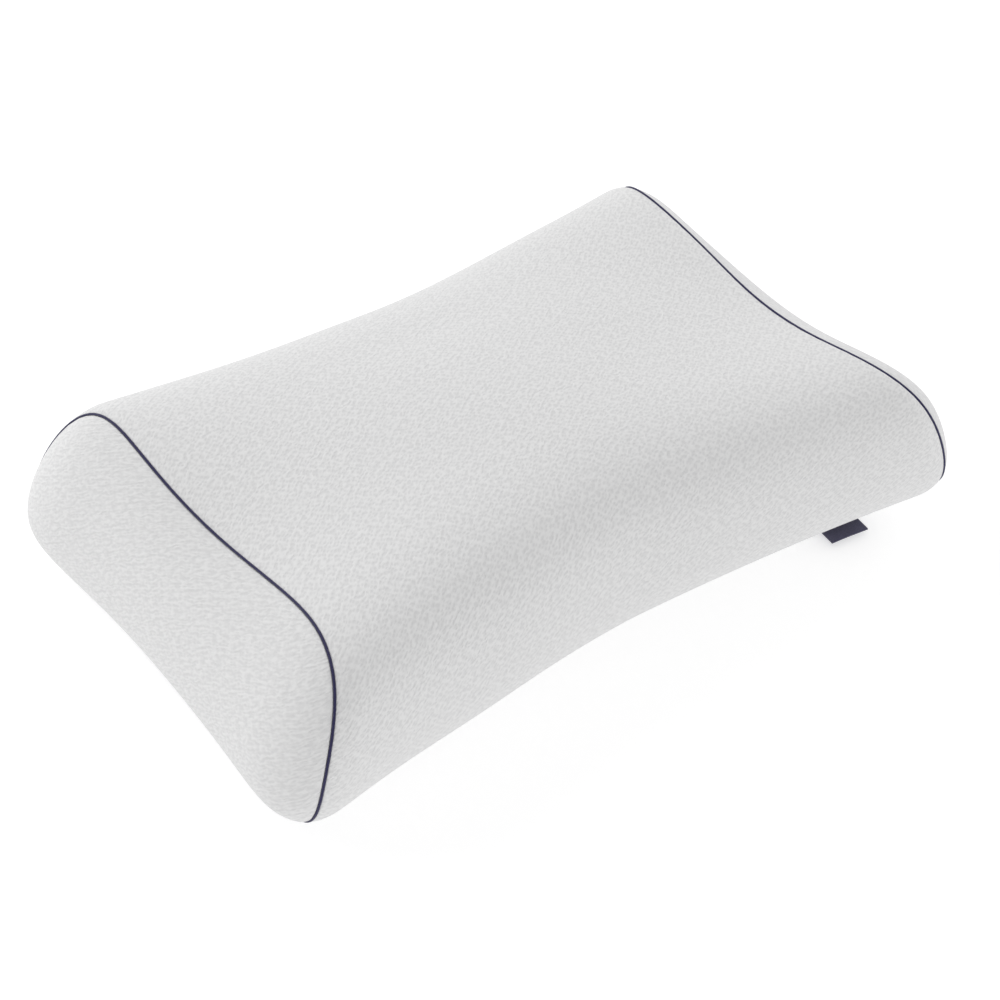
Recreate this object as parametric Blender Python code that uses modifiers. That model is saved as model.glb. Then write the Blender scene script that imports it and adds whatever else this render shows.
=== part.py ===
"""Contoured head pillow: filled body, two end panels, two corded seams and a folded tab."""
import math

import bmesh
import bpy
import numpy as np

# Overall size of the filled pillow
LENGTH = 0.602
DEPTH = 0.397
HEIGHT = 0.149

# Plan and ends: the middle is drawn in between the corners, the ends are rounded and lean inwards
WAIST_FRONT = 0.028
WAIST_BACK = 0.017
WAIST_SPAN = 0.130
WAIST_REACH = 0.283
WAIST_POWER = 1.5
WAIST_LIMIT = 1.1
HALF_LENGTH = 0.330
END_ROUNDING = 0.063
END_LEAN = 1.03
END_HOLLOW = 0.023
HOLLOW_POWER = 6
RIDGE_HEIGHT = 0.066
RIDGE_INSET = 0.080
RIDGE_POWER = 6

# One row for each place round the section, in millimetres, from the middle of the base to the
# front, over the top and down the back. Depth and height are those of the section at the ends,
# crown is what the middle of the pillow adds to the height, and seam is the seam's distance
# from the middle.
COLUMNS = ("place", "depth", "height", "crown", "seam")
SECTION = (
    ("base middle", 0, 0, 0, 294),
    ("front base", -60, 0, 0, 290),
    ("front foot", -120, 0, 0, 288),
    ("front heel", -188, 13, 0, 290),
    ("front belly", -196, 63, 0, 296),
    ("front shoulder", -183, 124, 9, 292),
    ("front crest", -136, 138, 10, 278),
    ("front slope", -75, 124, 25, 272),
    ("saddle", -10, 119, 30, 278),
    ("back slope", 47, 130, 16, 288),
    ("back crest", 96, 140, -3, 290),
    ("back shoulder", 156, 144, -10, 287),
    ("back belly", 200, 90, -4, 294),
    ("back heel", 215, 26, 0, 298),
    ("back foot", 176, 0, 0, 300),
    ("back base", 90, 0, 0, 298),
)
MILLIMETRE = 0.001

# Sewn seams and cloth
CORD_RADIUS = 0.0012
CORD_SINK = 0.0005
CORD_CLEARANCE = 0.0007
SEAM_ROLL = 0.0016
SEAM_ROLL_WIDTH = 0.0028
PANEL_THICKNESS = 0.0016
GAP = 0.00046

# Folded tab at the foot of the front
TAB_WIDTH = 0.033
TAB_LENGTH = 0.0305
TAB_OUTER_EDGE = (0.205, -0.1755, 0.005)
TAB_TURN = math.radians(-7)
TAB_CLOTH = 0.0005
TAB_FOLD_RADIUS = 0.0004

# Mesh fineness
STEPS_PER_ROW = 4
MIDDLE_SHARES = np.linspace(0, 1, 13)[:-1]
SEAM_APPROACH = (-0.015, -0.0085, -0.0048, -0.0027)
PANEL_EDGE = (0.0018, 0.0045, 0.0095)
GROOVE_DEGREES = (28, 60, 90)
CORD_BEVEL_STEPS = 2
FOLD_DEGREES = (90, 60, 30, 0, -30, -60, -90)
CAP_SHARES = np.linspace(0, 1, 6)[1:]
CAP_END = 1.40
FIT_SAMPLES = 160
PROBE = 1e-4

STRAIGHT = HALF_LENGTH - END_ROUNDING
MIDDLE_TURN = -STRAIGHT / END_ROUNDING
ROWS = len(SECTION)
AROUND = np.arange(ROWS * STEPS_PER_ROW) / STEPS_PER_ROW
FRONT_BELLY = 4


def column(name):
    """One column of the section table, in metres."""
    place = COLUMNS.index(name)
    return np.array([row[place] for row in SECTION]) * MILLIMETRE


def waist_column():
    """How far the middle of the pillow is drawn in at each row, towards the middle of its depth."""
    depth = column("depth")
    share = np.clip(np.abs(depth) / WAIST_SPAN, 0, 1) ** 2
    drawn = np.where(depth < 0, WAIST_FRONT, WAIST_BACK)
    return -np.sign(depth) * share * drawn


def spline(values, row):
    """A smooth closed curve through the rows: the uniform cubic B-spline of their values."""
    first = np.floor(row).astype(int)
    part = row - first
    return (
        values[(first - 1) % ROWS] * (1 - part) ** 3 / 6
        + values[first % ROWS] * (3 * part ** 3 - 6 * part ** 2 + 4) / 6
        + values[(first + 1) % ROWS] * (-3 * part ** 3 + 3 * part ** 2 + 3 * part + 1) / 6
        + values[(first + 2) % ROWS] * part ** 3 / 6
    )


def drawn_surface(side, turn, row):
    """The pillow's outer surface before it is brought to size.

    Turn is measured along the pillow: 0 where the rounded end begins, a quarter circle at the
    tip, and below 0 on the straight run. There the section closes on a level ridge line.
    """
    along = STRAIGHT + END_ROUNDING * np.where(turn > 0, np.sin(turn), turn)
    spread = np.where(turn > 0, np.cos(turn), 1.0)
    middle = 1 - np.clip(along / WAIST_REACH, 0, WAIST_LIMIT) ** WAIST_POWER
    depth = spline(column("depth"), row) + middle * spline(waist_column(), row)
    height = spline(column("height"), row) + middle * spline(column("crown"), row)

    front = -DEPTH / 2 + middle * WAIST_FRONT
    back = DEPTH / 2 - middle * WAIST_BACK
    centre = (front + back) / 2
    ridge_half = (back - front) / 2 - RIDGE_INSET
    share = (depth - centre) / ridge_half
    ridge = centre + ridge_half * share / (1 + np.abs(share) ** RIDGE_POWER) ** (1 / RIDGE_POWER)
    depth = ridge + spread * (depth - ridge)
    height = RIDGE_HEIGHT + spread * (height - RIDGE_HEIGHT)

    across = (depth - centre) / ((back - front) / 2)
    hollow = END_HOLLOW * (along / HALF_LENGTH) ** HOLLOW_POWER * (1 - across ** 2)
    reach = along * (1 - END_LEAN * height) - hollow
    return np.stack([side * reach, depth, np.maximum(height, 0)], axis=-1)


def fit_to_size():
    """Factors and centre that bring the drawn surface to its overall size, centred on its base."""
    turn = np.linspace(MIDDLE_TURN, CAP_END, FIT_SAMPLES)[:, None]
    points = drawn_surface(1, turn, AROUND[None, :]).reshape(-1, 3)
    low = points.min(axis=0)
    high = points.max(axis=0)
    factors = np.array([LENGTH / (2 * high[0]), DEPTH / (high[1] - low[1]), HEIGHT / high[2]])
    centre = np.array([0, (high[1] + low[1]) / 2, 0])
    return factors, centre


FACTORS, CENTRE = fit_to_size()


def surface(side, turn, row, lift=0.0):
    """Points of the outer surface, lifted off it along its outward normal."""
    point = (drawn_surface(side, turn, row) - CENTRE) * FACTORS
    ahead = drawn_surface(side, turn + PROBE, row) - drawn_surface(side, turn - PROBE, row)
    around = drawn_surface(side, turn, row + PROBE) - drawn_surface(side, turn, row - PROBE)
    normal = np.cross(ahead * FACTORS, around * FACTORS) * side
    normal /= np.linalg.norm(normal, axis=-1, keepdims=True)
    return point + normal * np.broadcast_to(lift, turn.shape)[..., None]


def seam_line(row):
    """The turn of the seam at each row."""
    past = (spline(column("seam"), row) - STRAIGHT) / END_ROUNDING
    return np.where(past > 0, np.arcsin(np.clip(past, 0, 1)), past)


def seam_turn(distance=0.0):
    """The turn of the line that runs beside the seam, at a distance square to it."""
    turn = seam_line(AROUND)
    ahead = drawn_surface(1, turn + PROBE, AROUND) - drawn_surface(1, turn - PROBE, AROUND)
    before = drawn_surface(1, seam_line(AROUND - PROBE), AROUND - PROBE)
    after = drawn_surface(1, seam_line(AROUND + PROBE), AROUND + PROBE)
    ahead = ahead * FACTORS / (2 * PROBE)
    run = (after - before) * FACTORS
    run /= np.linalg.norm(run, axis=-1, keepdims=True)
    square = ahead - run * (ahead * run).sum(axis=-1, keepdims=True)
    return turn + distance / np.linalg.norm(square, axis=-1)


def roll(distance):
    """How far the cloth rolls down into the seam at a distance from it."""
    return -SEAM_ROLL * math.exp(-(distance / SEAM_ROLL_WIDTH) ** 2)


def panel_rings(side, lift):
    """Rings of an end panel's surface, from its sewn edge to the tip of the end."""
    rings = []
    for distance in PANEL_EDGE:
        rings.append(surface(side, seam_turn(distance), AROUND, roll(distance) + lift))
    start = seam_turn(PANEL_EDGE[-1])
    for share in CAP_SHARES:
        turn = start + share * (CAP_END - start)
        rings.append(surface(side, turn, AROUND, lift))
    return rings


def groove_rings(side):
    """Rings of the groove in which the cord lies: a part circle round the cord."""
    radius = CORD_RADIUS + CORD_CLEARANCE
    rings = []
    for degrees in GROOVE_DEGREES:
        angle = math.radians(degrees)
        distance = -radius * math.cos(angle)
        lift = -CORD_SINK - radius * math.sin(angle)
        rings.append(surface(side, seam_turn(distance), AROUND, lift))
    return rings


def body_half(side):
    """Rings of one half of the filled body, from the middle of the pillow to the tip."""
    edge = seam_turn(SEAM_APPROACH[0])
    rings = []
    for share in MIDDLE_SHARES:
        turn = MIDDLE_TURN + share * (edge - MIDDLE_TURN)
        rings.append(surface(side, turn, AROUND))
    for distance in SEAM_APPROACH:
        rings.append(surface(side, seam_turn(distance), AROUND, roll(distance)))
    rings += groove_rings(side)
    rings += panel_rings(side, -PANEL_THICKNESS - GAP)
    return rings


def ridge_strip(ring):
    """Faces that close a ring on itself, from the front belly to the back belly."""
    count = len(AROUND)
    belly = FRONT_BELLY * STEPS_PER_ROW
    faces = []
    for step in range(count // 2):
        upper = [ring + (belly + step) % count, ring + (belly + step + 1) % count]
        lower = [ring + (belly - step - 1) % count, ring + (belly - step) % count]
        face = list(dict.fromkeys(upper + lower))
        faces.append(face)
    return faces


def loft(name, rings):
    """A closed solid through a row of rings, closed by a strip at both ends."""
    count = len(AROUND)
    faces = ridge_strip(0) + ridge_strip((len(rings) - 1) * count)
    for ring in range(len(rings) - 1):
        for step in range(count):
            following = (step + 1) % count
            near = [ring * count + step, ring * count + following]
            far = [(ring + 1) * count + following, (ring + 1) * count + step]
            faces.append(near + far)
    mesh = bpy.data.meshes.new(name)
    mesh.from_pydata(np.concatenate(rings).tolist(), [], faces)
    solid = bmesh.new()
    solid.from_mesh(mesh)
    bmesh.ops.recalc_face_normals(solid, faces=solid.faces)
    solid.to_mesh(mesh)
    solid.free()
    mesh.shade_smooth()
    return bpy.data.objects.new(name, mesh)


def new_material(name, colour, roughness):
    """A matte cloth finish."""
    material = bpy.data.materials.new(name)
    material.use_nodes = True
    shader = material.node_tree.nodes["Principled BSDF"]
    shader.inputs["Base Color"].default_value = (*colour, 1)
    shader.inputs["Roughness"].default_value = roughness
    shader.inputs["Metallic"].default_value = 0
    return material


def pillow_body():
    """The filled body under its wrap-round knit panel."""
    left = body_half(-1)
    right = body_half(1)
    solid = loft("pillow_body", left[:0:-1] + right)
    solid.data.materials.append(new_material("body_knit", (0.78, 0.78, 0.80), 0.95))
    return solid


def end_panel(name, side):
    """A shaped end panel: one layer of knit over the rounded end."""
    outer = panel_rings(side, 0.0)
    inner = panel_rings(side, -PANEL_THICKNESS)
    solid = loft(name, outer[::-1] + inner)
    solid.data.materials.append(new_material(name + "_knit", (0.80, 0.80, 0.82), 0.95))
    return solid


def piping(name, side):
    """The cord sewn into the seam, a closed ring round the end of the pillow."""
    centre = surface(side, seam_turn(), AROUND, -CORD_SINK)
    curve = bpy.data.curves.new(name, "CURVE")
    curve.dimensions = "3D"
    curve.bevel_depth = CORD_RADIUS
    curve.bevel_resolution = CORD_BEVEL_STEPS
    line = curve.splines.new("POLY")
    line.points.add(len(centre) - 1)
    for point, place in zip(line.points, centre):
        point.co = (*place, 1)
    line.use_cyclic_u = True
    cord = bpy.data.objects.new(name, curve)
    curve.materials.append(new_material(name + "_cloth", (0.035, 0.035, 0.10), 0.8))
    return cord


def label_tab():
    """A bare ribbon folded in two, with its fold outwards."""
    leaf = TAB_LENGTH - TAB_FOLD_RADIUS - TAB_CLOTH / 2
    profile = [(leaf, TAB_FOLD_RADIUS)]
    for degrees in FOLD_DEGREES:
        angle = math.radians(degrees)
        profile.append((-TAB_FOLD_RADIUS * math.cos(angle), TAB_FOLD_RADIUS * math.sin(angle)))
    profile.append((leaf, -TAB_FOLD_RADIUS))
    points = []
    for side in (-TAB_WIDTH / 2, TAB_WIDTH / 2):
        points += [(side, inwards, height) for inwards, height in profile]
    count = len(profile)
    faces = [(step, step + 1, count + step + 1, count + step) for step in range(count - 1)]
    mesh = bpy.data.meshes.new("label_tab")
    mesh.from_pydata(points, [], faces)
    tab = bpy.data.objects.new("label_tab", mesh)
    cloth = tab.modifiers.new("cloth", "SOLIDIFY")
    cloth.thickness = TAB_CLOTH
    cloth.offset = 0
    tab.location = TAB_OUTER_EDGE
    tab.rotation_euler = (0, 0, TAB_TURN)
    mesh.materials.append(new_material("tab_cloth", (0.045, 0.045, 0.075), 0.8))
    return tab


def build():
    for thing in list(bpy.data.objects):
        bpy.data.objects.remove(thing, do_unlink=True)
    group = bpy.data.collections.new("head_pillow")
    bpy.context.scene.collection.children.link(group)
    group.objects.link(pillow_body())
    for place, side in (("left", -1), ("right", 1)):
        group.objects.link(end_panel("end_panel_" + place, side))
        group.objects.link(piping("piping_" + place, side))
    group.objects.link(label_tab())


build()
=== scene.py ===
# Contoured head pillow: knit wrap panel, end panels, corded seams and a folded ribbon tab
import math

import bpy
import numpy as np
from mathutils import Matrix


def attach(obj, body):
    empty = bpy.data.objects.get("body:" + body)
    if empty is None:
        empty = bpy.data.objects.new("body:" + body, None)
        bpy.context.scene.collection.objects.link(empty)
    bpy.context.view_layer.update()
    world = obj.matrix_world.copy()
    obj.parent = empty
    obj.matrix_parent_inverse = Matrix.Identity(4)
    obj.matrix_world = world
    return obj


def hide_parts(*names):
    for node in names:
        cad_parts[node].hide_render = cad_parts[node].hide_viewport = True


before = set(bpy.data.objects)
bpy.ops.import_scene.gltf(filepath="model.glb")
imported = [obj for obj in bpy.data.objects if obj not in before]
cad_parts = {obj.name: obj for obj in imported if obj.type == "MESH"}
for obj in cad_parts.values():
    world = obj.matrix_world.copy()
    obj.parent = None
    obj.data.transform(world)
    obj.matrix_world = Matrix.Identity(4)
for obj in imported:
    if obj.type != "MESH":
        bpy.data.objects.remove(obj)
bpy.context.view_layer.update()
scene = bpy.context.scene
millimetre = 0.001
print("frame loaded:", len(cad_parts), "nodes")


# Form of the filled pillow

form = {
    "length": 0.602,
    "depth": 0.397,
    "height": 0.149,
    "waistFront": 0.028,      # how far the middle is drawn in
    "waistBack": 0.017,
    "waistSpan": 0.130,
    "waistReach": 0.283,
    "waistPower": 1.5,
    "waistLimit": 1.1,        # past its reach the waist turns outwards, up to here
    "halfLength": 0.330,      # before the ends lean in and hollow
    "endRounding": 0.063,
    "endLean": 1.03,
    "endHollow": 0.023,
    "hollowPower": 6,
    "ridgeHeight": 0.066,     # the line on which an end closes
    "ridgeInset": 0.080,
    "ridgePower": 6,
    "capEnd": 1.54,           # the turn at which the ends close
    "fitEnd": 1.4,            # the size is fitted up to this turn
    "fitSamples": 160,
    "fitStep": 0.25,
    "probe": 1e-4,            # the step over which slopes are measured
}

# One row for each place round the section, in millimetres: depth and height at the ends, what the
# middle adds to the height, and the seam's distance from the middle
section = [
    {"place": "base middle", "depth": 0, "height": 0, "crown": 0, "seam": 294},
    {"place": "front base", "depth": -60, "height": 0, "crown": 0, "seam": 290},
    {"place": "front foot", "depth": -120, "height": 0, "crown": 0, "seam": 288},
    {"place": "front heel", "depth": -188, "height": 13, "crown": 0, "seam": 290},
    {"place": "front belly", "depth": -196, "height": 63, "crown": 0, "seam": 296},
    {"place": "front shoulder", "depth": -183, "height": 124, "crown": 9, "seam": 292},
    {"place": "front crest", "depth": -136, "height": 138, "crown": 10, "seam": 278},
    {"place": "front slope", "depth": -75, "height": 124, "crown": 25, "seam": 272},
    {"place": "saddle", "depth": -10, "height": 119, "crown": 30, "seam": 278},
    {"place": "back slope", "depth": 47, "height": 130, "crown": 16, "seam": 288},
    {"place": "back crest", "depth": 96, "height": 140, "crown": -3, "seam": 290},
    {"place": "back shoulder", "depth": 156, "height": 144, "crown": -10, "seam": 287},
    {"place": "back belly", "depth": 200, "height": 90, "crown": -4, "seam": 294},
    {"place": "back heel", "depth": 215, "height": 26, "crown": 0, "seam": 298},
    {"place": "back foot", "depth": 176, "height": 0, "crown": 0, "seam": 300},
    {"place": "back base", "depth": 90, "height": 0, "crown": 0, "seam": 298},
]
rowCount = len(section)
frontBelly = 4
straight = form["halfLength"] - form["endRounding"]
middleTurn = -straight / form["endRounding"]


def column(name):
    # one column of the section, in metres
    return np.array([row[name] for row in section]) * millimetre


def waistColumn():
    # drawn in by the square of the share of the depth, no further than the waist's span
    depth = column("depth")
    share = np.clip(np.abs(depth) / form["waistSpan"], 0, 1) ** 2
    return -np.sign(depth) * share * np.where(depth < 0, form["waistFront"], form["waistBack"])


def spline(values, row):
    # uniform cubic B-spline of the rows' values, closed on itself
    first = np.floor(row).astype(int)
    part = row - first
    return (
        values[(first - 1) % rowCount] * (1 - part) ** 3 / 6
        + values[first % rowCount] * (3 * part ** 3 - 6 * part ** 2 + 4) / 6
        + values[(first + 1) % rowCount] * (-3 * part ** 3 + 3 * part ** 2 + 3 * part + 1) / 6
        + values[(first + 2) % rowCount] * part ** 3 / 6
    )


def drawnSurface(side, turn, row):
    # the section at a place along the pillow, shrunk on to the ridge line by the cosine of the turn
    # past the straight run; the ends lean in with height and hollow by a high power of the length
    along = straight + form["endRounding"] * np.where(turn > 0, np.sin(turn), turn)
    spread = np.where(turn > 0, np.cos(turn), 1.0)
    middle = 1 - np.clip(along / form["waistReach"], 0, form["waistLimit"]) ** form["waistPower"]
    depth = spline(column("depth"), row) + middle * spline(waistColumn(), row)
    height = spline(column("height"), row) + middle * spline(column("crown"), row)
    front = -form["depth"] / 2 + middle * form["waistFront"]
    back = form["depth"] / 2 - middle * form["waistBack"]
    centre = (front + back) / 2
    ridgeHalf = (back - front) / 2 - form["ridgeInset"]
    share = (depth - centre) / ridgeHalf
    power = form["ridgePower"]
    ridge = centre + ridgeHalf * share / (1 + np.abs(share) ** power) ** (1 / power)
    depth = ridge + spread * (depth - ridge)
    height = form["ridgeHeight"] + spread * (height - form["ridgeHeight"])
    across = (depth - centre) / ((back - front) / 2)
    deepening = (along / form["halfLength"]) ** form["hollowPower"]
    hollow = form["endHollow"] * deepening * (1 - across ** 2)
    reach = along * (1 - form["endLean"] * height) - hollow
    return np.stack([side * reach, depth, np.maximum(height, 0)], axis=-1)


def fitToSize():
    # the factors and the centre that bring the drawn surface to its overall size: each side
    # divided by what the drawn points span
    turn = np.linspace(middleTurn, form["fitEnd"], form["fitSamples"])[:, None]
    row = np.arange(0, rowCount, form["fitStep"])[None, :]
    points = drawnSurface(1, turn, row).reshape(-1, 3)
    low, high = points.min(axis=0), points.max(axis=0)
    spans = np.array([2 * high[0], high[1] - low[1], high[2]])
    sizes = np.array([form["length"], form["depth"], form["height"]])
    return sizes / spans, np.array([0, (high[1] + low[1]) / 2, 0])


factors, centre = fitToSize()
print("form fitted, factors", factors.round(4))


def surface(side, turn, row, lift=0.0):
    # points of the outer surface, lifted along its normal: the cross product of its two slopes
    step = form["probe"]
    turn, row = np.broadcast_arrays(turn, row)
    ahead = (drawnSurface(side, turn + step, row) - drawnSurface(side, turn - step, row)) * factors
    around = (drawnSurface(side, turn, row + step) - drawnSurface(side, turn, row - step)) * factors
    normal = np.cross(ahead, around) * side
    normal /= np.linalg.norm(normal, axis=-1, keepdims=True)
    point = (drawnSurface(side, turn, row) - centre) * factors
    return point + normal * np.broadcast_to(lift, turn.shape)[..., None]


def seamLine(row):
    # the seam's turn at each row: the arc sine of how far it lies past the straight run
    past = (spline(column("seam"), row) - straight) / form["endRounding"]
    return np.where(past > 0, np.arcsin(np.clip(past, 0, 1)), past)


def seamTurn(row, distance=0.0):
    # the line beside the seam, at a distance square to the seam's own run
    step = form["probe"]
    turn = seamLine(row)
    ahead = drawnSurface(1, turn + step, row) - drawnSurface(1, turn - step, row)
    ahead = ahead * factors / (2 * step)
    run = (drawnSurface(1, seamLine(row + step), row + step)
           - drawnSurface(1, seamLine(row - step), row - step)) * factors
    run /= np.linalg.norm(run, axis=-1, keepdims=True)
    square = ahead - run * (ahead * run).sum(axis=-1, keepdims=True)
    return turn + distance / np.linalg.norm(square, axis=-1)


# Sewing: the cord in its groove, the cloth that rolls down to it, and its puckers

sewing = {
    "cordRadius": 0.0009,
    "cordSink": 0.00035,
    "roll": 0.00065,
    "rollWidth": 0.0020,
    "gap": 0.00012,
    "panelThickness": 0.0014,
    "puckerDepth": 0.00022,
    "puckerReach": 0.007,
    "puckerCount": 90,
    "puckerRates": (0.62, 0.81, 1.0, 1.27, 1.53),
    "wrapSeed": 11,
    "swell": 0.0004,          # slow unevenness of the filling
    # its waves: radians for each metre along, across and up, and where each starts
    "swellWaves": (
        ((31, 12, 0), 1.3), ((0, 27, -19), 0.4), ((17, 0, -41), 2.1), ((23, 36, 0), math.pi / 2),
    ),
}
aroundCount = 200
around = np.arange(aroundCount) * rowCount / aroundCount


def roll(distance):
    # how far the cloth rolls down to the seam: a bell curve of the distance from it
    return -sewing["roll"] * np.exp(-(distance / sewing["rollWidth"]) ** 2)


def pucker(distance, row, seed):
    # a sum of waves round the seam that dies away with the square of the distance from it
    rng = np.random.default_rng(seed)
    wave = np.zeros_like(row)
    for rate in sewing["puckerRates"]:
        turns = round(sewing["puckerCount"] * rate)
        wave = wave + np.sin(2 * np.pi * turns * row / rowCount + rng.uniform(0, 2 * np.pi))
    fade = np.exp(-(distance / sewing["puckerReach"]) ** 2)
    return sewing["puckerDepth"] * fade * wave / 2


def swell(side, turn, row):
    # slow waves over the whole pillow: two products of sines of the place, added
    place = surface(side, turn, row)
    first, second, third, fourth = (
        np.sin(place @ np.array(turns) + start) for turns, start in sewing["swellWaves"])
    return sewing["swell"] * (first * second + third * fourth)


def gridFaces(rings, count):
    # quads between neighbouring rings of a closed grid
    ring = np.arange(rings - 1)[:, None] * count
    step = np.arange(count)[None, :]
    following = (step + 1) % count
    corners = [ring + step, ring + count + step, ring + count + following, ring + following]
    return np.stack(corners, -1).reshape(-1, 4)


def stripFaces(first, count, flip):
    # quads that close a ring on itself from the front belly to the back belly; where both corners
    # of a side are one point the face is a triangle
    belly = frontBelly * count // rowCount
    step = np.arange(count // 2)
    upper, upperNext = (belly + step) % count, (belly + step + 1) % count
    lower, lowerNext = (belly - step) % count, (belly - step - 1) % count
    quads = np.stack([upper, upperNext, lowerNext, lower], -1) + first
    faces = [list(dict.fromkeys(quad)) for quad in quads.tolist()]
    return [face[::-1] for face in faces] if flip else faces


def makeObject(name, points, faces, uv=None):
    # a smooth-shaded mesh of points and faces, with the cloth's own place at every corner
    mesh = bpy.data.meshes.new(name)
    mesh.from_pydata(points.reshape(-1, 3), [], faces)
    if uv is not None:
        layer = mesh.uv_layers.new(name="cloth")
        corner = np.zeros(len(mesh.loops), dtype=np.int32)
        mesh.loops.foreach_get("vertex_index", corner)
        values = uv.reshape(-1, 2)[corner]
        layer.data.foreach_set("uv", values.ravel())
    mesh.shade_smooth()
    thing = bpy.data.objects.new(name, mesh)
    scene.collection.objects.link(thing)
    return thing


def closeUv(thing, girth):
    # a face whose corners lie at both ends of the girth has the low ones raised by one girth, so
    # that the pattern doesn't run back across it
    mesh = thing.data
    layer = mesh.uv_layers["cloth"]
    values = np.zeros(len(mesh.loops) * 2, dtype=np.float32)
    layer.data.foreach_get("uv", values)
    values = values.reshape(-1, 2)
    starts = np.zeros(len(mesh.polygons), dtype=np.int32)
    totals = np.zeros(len(mesh.polygons), dtype=np.int32)
    mesh.polygons.foreach_get("loop_start", starts)
    mesh.polygons.foreach_get("loop_total", totals)
    face = np.repeat(np.arange(len(totals)), totals)
    highest = np.maximum.reduceat(values[:, 1], starts)
    share = wrap["joinShare"]
    wraps = (highest[face] > (1 - share) * girth) & (values[:, 1] < share * girth)
    values[wraps, 1] += girth
    layer.data.foreach_set("uv", values.ravel())


# Wrap panel

filling = {
    "inset": 0.0004,          # how much smaller the cloth starts
    "pressure": 1.5,
    "quality": 6,
    "mass": 0.3,
    "tension": 40,
    "compression": 5,
    "shear": 15,
    "bending": 8,
    "damping": 12,
    "frames": 20,
    "cap": 0.0006,            # the most that a point may move
    "evenPasses": 3,
    "heldEdge": 0.003,        # held up to here from the seam, then less and less
    "heldFade": 0.012,
    "heldBase": 0.006,        # held below this height
    "heldLevels": 20,
}
wrap = {
    "middleStations": 40,
    "edgeStart": 0.016,
    "edgeStations": 9,
    "turnedEdge": 0.0002,
    "grooveDegrees": (10, 40, 65, 90),
    "tuckStart": 0.003,
    "tuckEnd": 1.4,
    "tuckDepth": 0.0012,      # below the end panel
    "tuckDip": 0.0008,
    "tuckedShares": (0.25, 0.6, 1.0),
    "joinShare": 0.25,
    "fill": 0.85,
}


def wrapSide(side):
    # stations from the middle of the pillow to the seam, down a part circle round the cord and in
    # under the end panel; between two stations the turn changes in equal steps
    edge = seamTurn(around, -wrap["edgeStart"])
    turns, lifts = [], []
    for share in np.linspace(0, 1, wrap["middleStations"])[:-1]:
        turn = middleTurn + share * (edge - middleTurn)
        turns.append(turn)
        lifts.append(swell(side, turn, around))
    radius = sewing["cordRadius"] + sewing["gap"]
    edgeEnd = -radius - wrap["turnedEdge"]
    for distance in np.linspace(-wrap["edgeStart"], edgeEnd, wrap["edgeStations"]):
        turn = seamTurn(around, distance)
        turns.append(turn)
        folds = pucker(distance, around, sewing["wrapSeed"])
        lifts.append(swell(side, turn, around) + roll(distance) + folds)
    for degrees in wrap["grooveDegrees"]:
        angle = math.radians(degrees)
        turns.append(seamTurn(around, -radius * math.cos(angle)))
        lifts.append(np.full(aroundCount, -sewing["cordSink"] - radius * math.sin(angle)))
    under = -sewing["panelThickness"] - sewing["gap"] - wrap["tuckDepth"]
    start = seamTurn(around, wrap["tuckStart"])
    turns.append(start)
    lifts.append(np.full(aroundCount, under - wrap["tuckDip"]))
    for share in wrap["tuckedShares"]:
        turns.append(start + share * (wrap["tuckEnd"] - start))
        lifts.append(np.full(aroundCount, under))
    return np.array(turns), np.array(lifts)


def clothUv(points):
    # arc length along the pillow and round it, in metres
    alongStep = np.linalg.norm(np.diff(points, axis=0), axis=-1)
    along = np.concatenate([np.zeros((1, points.shape[1])), np.cumsum(alongStep, axis=0)])
    along -= along[len(points) // 2]
    ring = points[len(points) // 2]
    aroundStep = np.linalg.norm(np.roll(ring, -1, axis=0) - ring, axis=-1)
    girth = np.concatenate([[0], np.cumsum(aroundStep)])
    across = np.broadcast_to(girth[:-1], points.shape[:2])
    return np.stack([along, across], -1), girth[-1]


def coordinates(mesh):
    # the mesh's points as one array
    values = np.empty(len(mesh.vertices) * 3, dtype=np.float32)
    mesh.vertices.foreach_get("co", values)
    return values.reshape(-1, 3)


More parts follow.
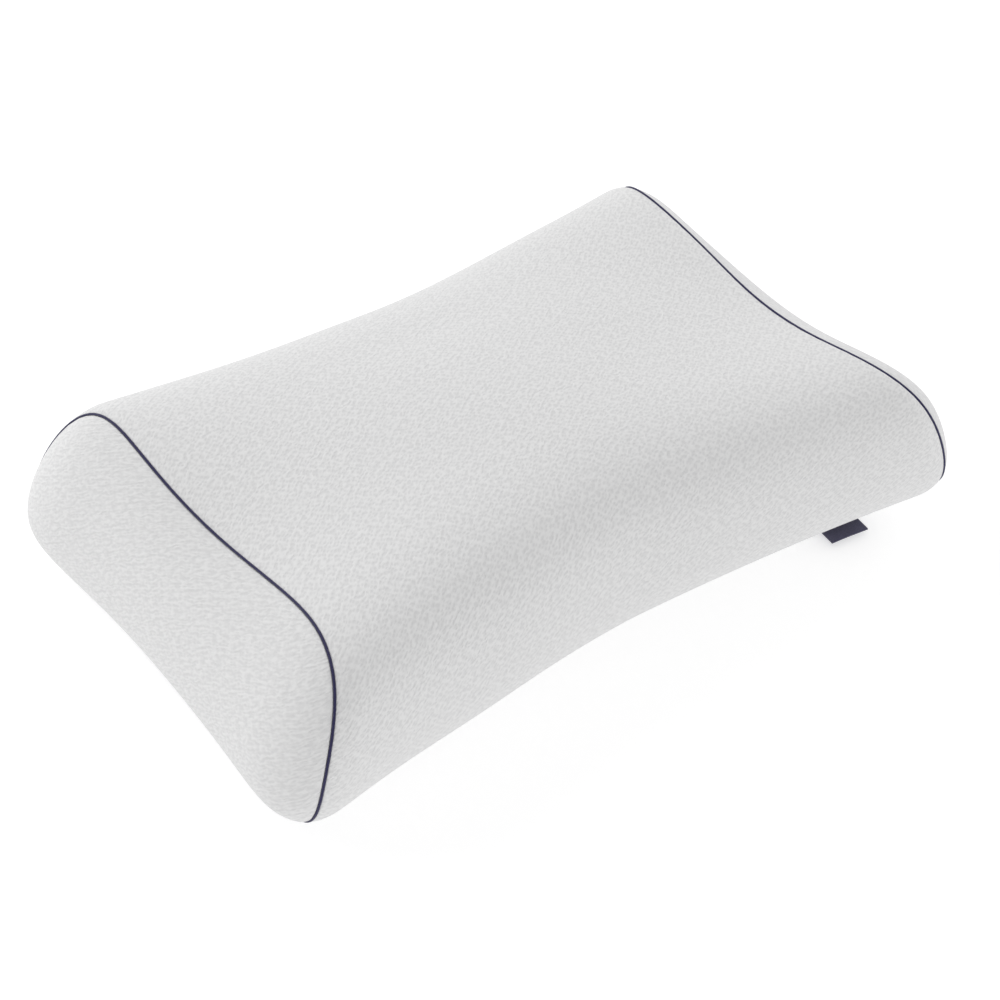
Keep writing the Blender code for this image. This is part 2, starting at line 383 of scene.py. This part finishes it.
def fillOut(piece, held):
    # cloth simulation: the cloth starts a little small, its held edges and base stay, and air
    # pressure swells the rest; each move is brought under the cap by the tanh of its length and
    # then evened with its four neighbours
    mesh = piece.data
    drawn = coordinates(mesh)
    normals = np.empty(len(mesh.vertices) * 3, dtype=np.float32)
    mesh.vertex_normals.foreach_get("vector", normals)
    normals = normals.reshape(-1, 3)
    start = drawn - normals * (filling["inset"] * (1 - held))[:, None]
    mesh.vertices.foreach_set("co", start.astype(np.float32).ravel())
    group = piece.vertex_groups.new(name="held")
    top = filling["heldLevels"]
    levels = np.round(held * top).astype(int)
    for level in range(1, top + 1):
        group.add(np.nonzero(levels == level)[0].tolist(), level / top, "REPLACE")
    cloth = piece.modifiers.new("filling", "CLOTH")
    cloth.settings.quality = filling["quality"]
    cloth.settings.mass = filling["mass"]
    cloth.settings.tension_stiffness = filling["tension"]
    cloth.settings.compression_stiffness = filling["compression"]
    cloth.settings.tension_damping = filling["damping"]
    cloth.settings.compression_damping = filling["damping"]
    cloth.settings.shear_stiffness = filling["shear"]
    cloth.settings.bending_stiffness = filling["bending"]
    cloth.settings.vertex_group_mass = "held"
    cloth.settings.use_pressure = True
    cloth.settings.uniform_pressure_force = filling["pressure"]
    cloth.settings.effector_weights.gravity = 0
    cloth.collision_settings.use_collision = False
    cloth.point_cache.frame_start = 1
    cloth.point_cache.frame_end = filling["frames"]
    for step in range(1, filling["frames"] + 1):
        scene.frame_set(step)
    swollen = coordinates(piece.evaluated_get(bpy.context.evaluated_depsgraph_get()).data)
    piece.modifiers.remove(cloth)
    piece.vertex_groups.remove(group)
    scene.frame_set(1)
    move = swollen - drawn
    far = np.maximum(np.linalg.norm(move, axis=1), 1e-9)
    move *= (filling["cap"] * np.tanh(far / filling["cap"]) / far)[:, None]
    move = move.reshape(-1, aroundCount, 3)
    for step in range(filling["evenPasses"]):
        beside = (np.roll(move, 1, axis=1) + np.roll(move, -1, axis=1)) / 2
        before = np.concatenate([move[:1], move[:-1]])
        after = np.concatenate([move[1:], move[-1:]])
        move = move / 2 + beside / 4 + (before + after) / 8
    move = move.reshape(-1, 3) * (1 - held)[:, None]
    mesh.vertices.foreach_set("co", (drawn + move).astype(np.float32).ravel())
    mesh.update()
    furthest = np.linalg.norm(move, axis=1).max() / millimetre
    print("filled out:", piece.name, "moved at most mm", furthest.round(2))


def makeWrap():
    # one closed tube of cloth from end to end, held by how near each point is to a seam or the base
    sides, holds = [], []
    for side in (-1, 1):
        turns, lifts = wrapSide(side)
        sides.append(surface(side, turns, around[None, :], lifts))
        away = (seamTurn(around) - turns) * form["endRounding"]
        holds.append(np.clip(1 - (away - filling["heldEdge"]) / filling["heldFade"], 0, 1))
    points = np.concatenate([sides[0][:0:-1], sides[1]])
    held = np.concatenate([holds[0][:0:-1], holds[1]])
    points[..., 2] = np.maximum(points[..., 2], 0)
    held = np.maximum(held, np.clip(1 - points[..., 2] / filling["heldBase"], 0, 1))
    uv, girth = clothUv(points)
    rings = len(points)
    faces = gridFaces(rings, aroundCount).tolist()
    faces += stripFaces(0, aroundCount, False)
    faces += stripFaces((rings - 1) * aroundCount, aroundCount, True)
    piece = makeObject("wrap_panel", points, faces, uv)
    closeUv(piece, girth)
    fillOut(piece, held.ravel())
    return piece


def subdivide(piece, levels=1):
    # each face cut in four on a smooth surface
    smooth = piece.modifiers.new("smooth", "SUBSURF")
    smooth.levels = levels
    smooth.render_levels = levels


wrapPanel = makeWrap()
subdivide(wrapPanel)
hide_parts("pillow_body")
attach(wrapPanel, "root")
print("wrap panel made:", len(wrapPanel.data.polygons), "faces")


# End panels

endPanel = {
    "edgeDistances": (0.00104, 0.0016, 0.0026, 0.0040, 0.0060, 0.0085, 0.0120, 0.0165),
    "capStations": 18,
    "seeds": {-1: 21, 1: 22},
}


def panelUv(points, side):
    # each ring's place is its foot on the ridge line plus the arc length walked from there
    ridge = points[-1, :, 1:]
    away = points[0, :, 1:] - ridge
    away /= np.linalg.norm(away, axis=-1, keepdims=True)
    steps = np.linalg.norm(np.diff(points, axis=0), axis=-1)
    walked = np.concatenate([np.cumsum(steps[::-1], axis=0)[::-1], np.zeros((1, aroundCount))])
    uv = ridge + away * walked[..., None]
    return uv * [side, 1]


def makeEndPanel(name, side):
    # rings from the sewn edge over the rounded end to the ridge line, closed by a strip
    turns, lifts = [], []
    for distance in endPanel["edgeDistances"]:
        turn = seamTurn(around, distance)
        turns.append(turn)
        folds = pucker(distance, around, endPanel["seeds"][side])
        lifts.append(swell(side, turn, around) + roll(distance) + folds)
    start = turns[-1]
    for share in np.linspace(0, 1, endPanel["capStations"])[1:]:
        turn = start + share * (form["capEnd"] - start)
        turns.append(turn)
        lifts.append(swell(side, turn, around))
    points = surface(side, np.array(turns), around[None, :], np.array(lifts))
    uv = panelUv(points, side)
    faces = gridFaces(len(points), aroundCount).tolist()
    faces += stripFaces((len(points) - 1) * aroundCount, aroundCount, True)
    if side < 0:
        faces = [face[::-1] for face in faces]
    piece = makeObject(name, points, faces, uv)
    layer = piece.modifiers.new("layer", "SOLIDIFY")
    layer.thickness = sewing["panelThickness"]
    layer.offset = -1
    subdivide(piece)
    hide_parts("end_panel_left" if side < 0 else "end_panel_right")
    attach(piece, "root")
    return piece


endPanels = [makeEndPanel("end_panel_left_knit", -1), makeEndPanel("end_panel_right_knit", 1)]
print("end panels made")


# Piping

piping = {
    "ringCount": 480,
    "sides": 16,
    "unevenness": 0.02,       # share of the radius
    "lumps": (0.0031, 0.0173),
}


def makePiping(name, side):
    # a tube: a circle carried round the seam, square to its run, its radius uneven by a product
    # of two sines of the length run
    row = np.arange(piping["ringCount"]) * rowCount / piping["ringCount"]
    turn = seamLine(row)
    middle = surface(side, turn, row, -sewing["cordSink"])
    outward = surface(side, turn, row, millimetre) - surface(side, turn, row)
    outward /= np.linalg.norm(outward, axis=-1, keepdims=True)
    run = np.roll(middle, -1, axis=0) - np.roll(middle, 1, axis=0)
    length = np.concatenate([[0], np.cumsum(np.linalg.norm(np.diff(middle, axis=0), axis=-1))])
    run /= np.linalg.norm(run, axis=-1, keepdims=True)
    across = np.cross(outward, run)
    angle = np.arange(piping["sides"]) * 2 * np.pi / piping["sides"]
    fine, coarse = (np.sin(length / lump) for lump in piping["lumps"])
    radius = sewing["cordRadius"] * (1 + piping["unevenness"] * fine * coarse)
    circle = (np.cos(angle)[None, :, None] * outward[:, None]
              + np.sin(angle)[None, :, None] * across[:, None])
    points = middle[:, None] + radius[:, None, None] * circle
    rings, count = points.shape[:2]
    faces = gridFaces(rings, count)
    closing = gridFaces(2, count)
    closing = np.where(closing < count, closing + (rings - 1) * count, closing - count)
    faces = np.concatenate([faces, closing])
    uv = np.stack([np.broadcast_to(length[:, None], (rings, count)),
                   np.broadcast_to(angle * sewing["cordRadius"], (rings, count))], -1)
    piece = makeObject(name, points, faces.tolist(), uv)
    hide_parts("piping_left" if side < 0 else "piping_right")
    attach(piece, "root")
    return piece


pipings = [makePiping("piping_left_cord", -1), makePiping("piping_right_cord", 1)]
print("piping made")


# Ribbon tab

tab = {
    "width": 0.033,
    "length": 0.0305,
    "outerEdge": (0.2043, -0.1761, 0.005),
    "turn": math.radians(-7),
    "cloth": 0.0005,
    "foldRadius": 0.00045,
    "stationsAcross": 40,
    "stationsAlong": 36,
    "droop": 0.0003,
    "droopTurns": 4.2,
    "droopStart": 0.6,
    "droopFade": 0.02,
}


def makeTab():
    # a ribbon carried inwards, round its fold and back: two leaves with a half circle between
    # them, bent across by a cosine that dies away inwards with the square of the distance
    leaf = tab["length"] - tab["foldRadius"] - tab["cloth"] / 2
    bend = np.pi * tab["foldRadius"]
    travel = np.linspace(-leaf - bend / 2, leaf + bend / 2, 2 * tab["stationsAlong"])
    angle = np.clip(travel / bend, -0.5, 0.5) * np.pi
    inwards = np.maximum(np.abs(travel) - bend / 2, 0) - tab["foldRadius"] * np.cos(angle)
    height = -tab["foldRadius"] * np.sin(angle)
    across = np.linspace(-0.5, 0.5, tab["stationsAcross"]) * tab["width"]
    bow = np.cos(across[None, :] / tab["width"] * tab["droopTurns"] + tab["droopStart"])
    lift = tab["droop"] * bow * np.exp(-(inwards[:, None] / tab["droopFade"]) ** 2)
    x = np.broadcast_to(across[None, :], lift.shape)
    y = np.broadcast_to(inwards[:, None], lift.shape)
    z = height[:, None] + lift
    turned = [math.cos(tab["turn"]) * x - math.sin(tab["turn"]) * y,
              math.sin(tab["turn"]) * x + math.cos(tab["turn"]) * y, z]
    points = np.stack(turned, -1) + np.array(tab["outerEdge"])
    uv = np.stack([x, np.broadcast_to(travel[:, None], lift.shape)], -1)
    rows, count = points.shape[:2]
    row, step = np.arange(rows - 1)[:, None] * count, np.arange(count - 1)[None, :]
    faces = np.stack([row + step, row + count + step, row + count + step + 1, row + step + 1], -1)
    piece = makeObject("tab_ribbon", points, faces.reshape(-1, 4).tolist(), uv)
    layer = piece.modifiers.new("layer", "SOLIDIFY")
    layer.thickness = tab["cloth"]
    layer.offset = 0
    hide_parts("label_tab")
    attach(piece, "root")
    return piece


tabRibbon = makeTab()
print("tab made")


# Finishes

knit = {
    "colour": (0.790, 0.789, 0.790, 1),
    # painted shade: the knit's pits are coloured darker than its crowns
    "pitShadeColour": (0.700, 0.699, 0.702, 1),
    "roughness": 0.92,
    "specular": 0.25,
    "sheen": 0.12,
    "sheenRoughness": 0.5,
    # the lattice that the dimples lie on: spacing in metres and direction across it in degrees
    "rows": {"spacing": 0.00235, "direction": -56},
    "steps": {"spacing": 0.0039, "direction": 44},
    "scatter": 0.58,
    "dimpleSoftness": 0.5,
    "dimpleReach": 0.62,
    "waveShare": 0.10,        # every second row lies a little higher
    "strokeDirection": 36,
    "strokeDetail": 0.5,
    "driftSize": 0.009,
    "driftDetail": 1.0,
    "drift": 0.0026,
    "relief": 0.00030,
    "pitShadeHeights": (0.60, 1.25),    # the heights of full painted pit shade and of the full colour
    "wrap": {
        "dimpleShare": 0.66, "strokeShare": 1.1, "strokeLength": 0.0048, "strokeWidth": 0.0024,
    },
    "panel": {
        "dimpleShare": 0.34, "strokeShare": 1.4, "strokeLength": 0.0058, "strokeWidth": 0.0018,
    },
    "yarn": 0.0008,
    "yarnDetail": 1.0,
    "yarnRelief": 0.00010,
}
woven = {
    "ribDirections": (45, -45),
    "roughness": 0.75,
    "specular": 0.3,
    "sheen": 0.2,
}
pipingCloth = {
    "colour": (0.034, 0.030, 0.122, 1),
    # painted shade in the grooves between the twill's ribs
    "grooveShadeColour": (0.014, 0.012, 0.060, 1),
    "thread": 0.0005,
    "relief": 0.0001,
}
tabCloth = {
    "colour": (0.118, 0.114, 0.192, 1),
    # painted shade in the grooves between the twill's ribs
    "grooveShadeColour": (0.052, 0.050, 0.092, 1),
    "thread": 0.0006,
    "relief": 0.00012,
}


def newMaterial(name):
    # a new material with its node tree and its shader
    material = bpy.data.materials.new(name)
    material.use_nodes = True
    tree = material.node_tree
    return material, tree, tree.nodes["Principled BSDF"]


def addNode(tree, kind, sockets, **settings):
    # a node with its settings, each of its sockets either linked or given a value
    node = tree.nodes.new(kind)
    for name, value in settings.items():
        setattr(node, name, value)
    for name, value in sockets.items():
        if isinstance(value, bpy.types.NodeSocket):
            tree.links.new(value, node.inputs[name])
        else:
            node.inputs[name].default_value = value
    return node


def addMath(tree, operation, first, second):
    # one sum on two numbers
    return addNode(tree, "ShaderNodeMath", {0: first, 1: second}, operation=operation).outputs[0]


def addVector(tree, operation, first, second):
    # one sum on two vectors; a dot product gives a number
    node = addNode(tree, "ShaderNodeVectorMath", {0: first, 1: second}, operation=operation)
    return node.outputs["Value" if operation == "DOT_PRODUCT" else "Vector"]


def clothPlace(tree):
    # the place on the cloth, in metres
    return addNode(tree, "ShaderNodeUVMap", {}, uv_map="cloth").outputs["UV"]


def waveNumber(spacing, direction):
    # the vector whose dot product with a place counts spacings along a direction
    angle = math.radians(direction)
    return (math.cos(angle) / spacing, math.sin(angle) / spacing, 0)


def knitMaterial(name, dimpleShare, strokeShare, strokeLength, strokeWidth):
    # crinkled knit: dimples on a slanting lattice that a soft noise shifts, each rising smoothly
    # with the distance from its middle, over slanting strokes of noise and a yarn grain; the colour
    # holds painted shade in the low places, lightening to the full colour as the height rises
    material, tree, shader = newMaterial(name)
    place = clothPlace(tree)
    drift = addNode(tree, "ShaderNodeTexNoise", {
        "Vector": place, "Scale": 1 / knit["driftSize"], "Detail": knit["driftDetail"],
    }, noise_dimensions="2D").outputs["Color"]
    drift = addVector(tree, "SUBTRACT", drift, (0.5, 0.5, 0.5))
    drift = addVector(tree, "MULTIPLY", drift, (knit["drift"], knit["drift"], 0))
    shifted = addVector(tree, "ADD", place, drift)
    rows = addVector(tree, "DOT_PRODUCT", shifted, waveNumber(**knit["rows"]))
    steps = addVector(tree, "DOT_PRODUCT", shifted, waveNumber(**knit["steps"]))
    cell = addNode(tree, "ShaderNodeCombineXYZ", {"X": rows, "Y": steps}).outputs["Vector"]
    away = addNode(tree, "ShaderNodeTexVoronoi", {
        "Vector": cell, "Scale": 1.0, "Smoothness": knit["dimpleSoftness"],
        "Randomness": knit["scatter"],
    }, voronoi_dimensions="2D", feature="SMOOTH_F1").outputs["Distance"]
    dimple = addNode(tree, "ShaderNodeMapRange", {
        "Value": away, "From Min": 0.0, "From Max": knit["dimpleReach"],
    }, interpolation_type="SMOOTHSTEP").outputs["Result"]
    wave = addMath(tree, "SINE", addMath(tree, "MULTIPLY", rows, math.pi), 0.0)
    direction = knit["strokeDirection"]
    along = addVector(tree, "DOT_PRODUCT", shifted, waveNumber(strokeLength, direction))
    across = addVector(tree, "DOT_PRODUCT", shifted, waveNumber(strokeWidth, direction + 90))
    strokePlace = addNode(tree, "ShaderNodeCombineXYZ", {"X": along, "Y": across})
    stroke = addNode(tree, "ShaderNodeTexNoise", {
        "Vector": strokePlace.outputs["Vector"], "Scale": 1.0, "Detail": knit["strokeDetail"],
    }, noise_dimensions="2D").outputs["Fac"]
    height = addMath(tree, "MULTIPLY", dimple, dimpleShare)
    height = addMath(tree, "ADD", height, addMath(tree, "MULTIPLY", wave, knit["waveShare"]))
    height = addMath(tree, "ADD", height, addMath(tree, "MULTIPLY", stroke, strokeShare))
    yarn = addNode(tree, "ShaderNodeTexNoise", {
        "Vector": place, "Scale": 1 / knit["yarn"], "Detail": knit["yarnDetail"],
    }, noise_dimensions="2D").outputs["Fac"]
    grain = addNode(tree, "ShaderNodeBump", {"Height": yarn, "Distance": knit["yarnRelief"]})
    relief = addNode(tree, "ShaderNodeBump", {
        "Height": height, "Distance": knit["relief"], "Normal": grain.outputs["Normal"],
    })
    low, high = knit["pitShadeHeights"]
    pitShade = addNode(tree, "ShaderNodeMapRange", {"Value": height, "From Min": low, "From Max": high})
    # painted shade: the colour darkens towards the pit shade as the height falls
    colour = addNode(tree, "ShaderNodeMix", {
        "Factor": pitShade.outputs["Result"], "A": knit["pitShadeColour"], "B": knit["colour"],
    }, data_type="RGBA")
    tree.links.new(colour.outputs["Result"], shader.inputs["Base Color"])
    tree.links.new(relief.outputs["Normal"], shader.inputs["Normal"])
    shader.inputs["Roughness"].default_value = knit["roughness"]
    shader.inputs["Specular IOR Level"].default_value = knit["specular"]
    shader.inputs["Sheen Weight"].default_value = knit["sheen"]
    shader.inputs["Sheen Roughness"].default_value = knit["sheenRoughness"]
    return material


def wovenMaterial(name, colour, grooveShadeColour, thread, relief):
    # twill: the product of two sets of sine ribs at right angles, slanted to the cloth's own run;
    # its colour holds painted shade, darker in the low places between the ribs
    material, tree, shader = newMaterial(name)
    place = clothPlace(tree)
    ribs = []
    for direction in woven["ribDirections"]:
        across = waveNumber(thread / (2 * math.pi), direction)
        wave = addMath(tree, "SINE", addVector(tree, "DOT_PRODUCT", place, across), 0.0)
        ribs.append(addMath(tree, "ADD", addMath(tree, "MULTIPLY", wave, 0.5), 0.5))
    height = addMath(tree, "MULTIPLY", *ribs)
    bump = addNode(tree, "ShaderNodeBump", {"Height": height, "Distance": relief})
    # painted shade: the cloth is coloured darker where the ribs are low
    tint = addNode(tree, "ShaderNodeMix", {
        "Factor": height, "A": grooveShadeColour, "B": colour,
    }, data_type="RGBA")
    tree.links.new(tint.outputs["Result"], shader.inputs["Base Color"])
    tree.links.new(bump.outputs["Normal"], shader.inputs["Normal"])
    shader.inputs["Roughness"].default_value = woven["roughness"]
    shader.inputs["Specular IOR Level"].default_value = woven["specular"]
    shader.inputs["Sheen Weight"].default_value = woven["sheen"]
    return material


wrapPanel.data.materials.append(knitMaterial("cover_knit", **knit["wrap"]))
panelKnit = knitMaterial("panel_knit", **knit["panel"])
for piece in endPanels:
    piece.data.materials.append(panelKnit)
cordCloth = wovenMaterial("piping_cloth", **pipingCloth)
for piece in pipings:
    piece.data.materials.append(cordCloth)
tabRibbon.data.materials.append(wovenMaterial("tab_cloth", **tabCloth))
print("finishes made")


# Floor, light and camera

studio = {
    "floorReach": 6.0,
    "floorDrop": 0.0005,
    "floorColour": (0.60, 0.60, 0.60, 1),
    # painted light: the floor's own glow, which pales the shadow under the pillow
    "floorGlow": 0.56,
    "world": 0.63,
    "lamps": [
        {"name": "back_left", "azimuth": -140, "elevation": 35, "size": 2.0, "power": 16.5},
        {"name": "back", "azimuth": 180, "elevation": 35, "size": 2.0, "power": 12},
        {"name": "right", "azimuth": 90, "elevation": 25, "size": 2.0, "power": 12},
        {"name": "front", "azimuth": 0, "elevation": 15, "size": 2.0, "power": 5.5},
    ],
    "lampDistance": 2.5,
    "lampTarget": (0, 0, 0.05),
}
view = {
    "azimuth": -36.37,
    "elevation": 41.37,
    "distance": 1.598,
    "target": (-0.0054, -0.0173, 0.0376),
    "lens": 77.44,
    "sensor": 36,
}


def outwardFrom(azimuth, elevation):
    # unit direction towards a camera or lamp; azimuth 0 stands in front, on the -Y side
    a, e = math.radians(azimuth), math.radians(elevation)
    return np.array([math.sin(a) * math.cos(e), -math.cos(a) * math.cos(e), math.sin(e)])


def aim(thing, target, azimuth, elevation, distance):
    # stands a camera or lamp at a distance from its target, and turns it there
    thing.location = np.array(target) + outwardFrom(azimuth, elevation) * distance
    thing.rotation_euler = (math.radians(90 - elevation), 0, math.radians(azimuth))


def makeFloor():
    # a square a little below the base, which glows: painted light that keeps it pale and fills in
    # the pillow's shadow on it
    corners = np.array([[-1, -1, 0], [1, -1, 0], [1, 1, 0], [-1, 1, 0]]) * studio["floorReach"]
    floor = makeObject("floor", corners - [0, 0, studio["floorDrop"]], [[0, 1, 2, 3]])
    material, tree, shader = newMaterial("floor_paper")
    shader.inputs["Base Color"].default_value = studio["floorColour"]
    # painted light: the floor glows though it is no lamp
    shader.inputs["Emission Color"].default_value = (1, 1, 1, 1)
    shader.inputs["Emission Strength"].default_value = studio["floorGlow"]
    shader.inputs["Roughness"].default_value = 1.0
    shader.inputs["Specular IOR Level"].default_value = 0.0
    floor.data.materials.append(material)


def makeLamps():
    # round soft lamps about the pillow, in an evenly white room
    for lamp in studio["lamps"]:
        light = bpy.data.lights.new(lamp["name"], "AREA")
        light.shape = "DISK"
        light.size = lamp["size"]
        light.energy = lamp["power"]
        thing = bpy.data.objects.new(lamp["name"], light)
        scene.collection.objects.link(thing)
        aim(thing, studio["lampTarget"], lamp["azimuth"], lamp["elevation"], studio["lampDistance"])
    world = bpy.data.worlds.new("studio")
    world.use_nodes = True
    world.node_tree.nodes["Background"].inputs["Color"].default_value = (1, 1, 1, 1)
    world.node_tree.nodes["Background"].inputs["Strength"].default_value = studio["world"]
    scene.world = world


def makeCamera():
    # the photograph's own view
    lens = bpy.data.cameras.new("camera")
    lens.lens = view["lens"]
    lens.sensor_width = view["sensor"]
    camera = bpy.data.objects.new("camera", lens)
    scene.collection.objects.link(camera)
    aim(camera, view["target"], view["azimuth"], view["elevation"], view["distance"])
    scene.camera = camera


makeFloor()
makeLamps()
makeCamera()
scene.view_settings.view_transform = "Standard"
print("studio made")

bpy.context.view_layer.update()
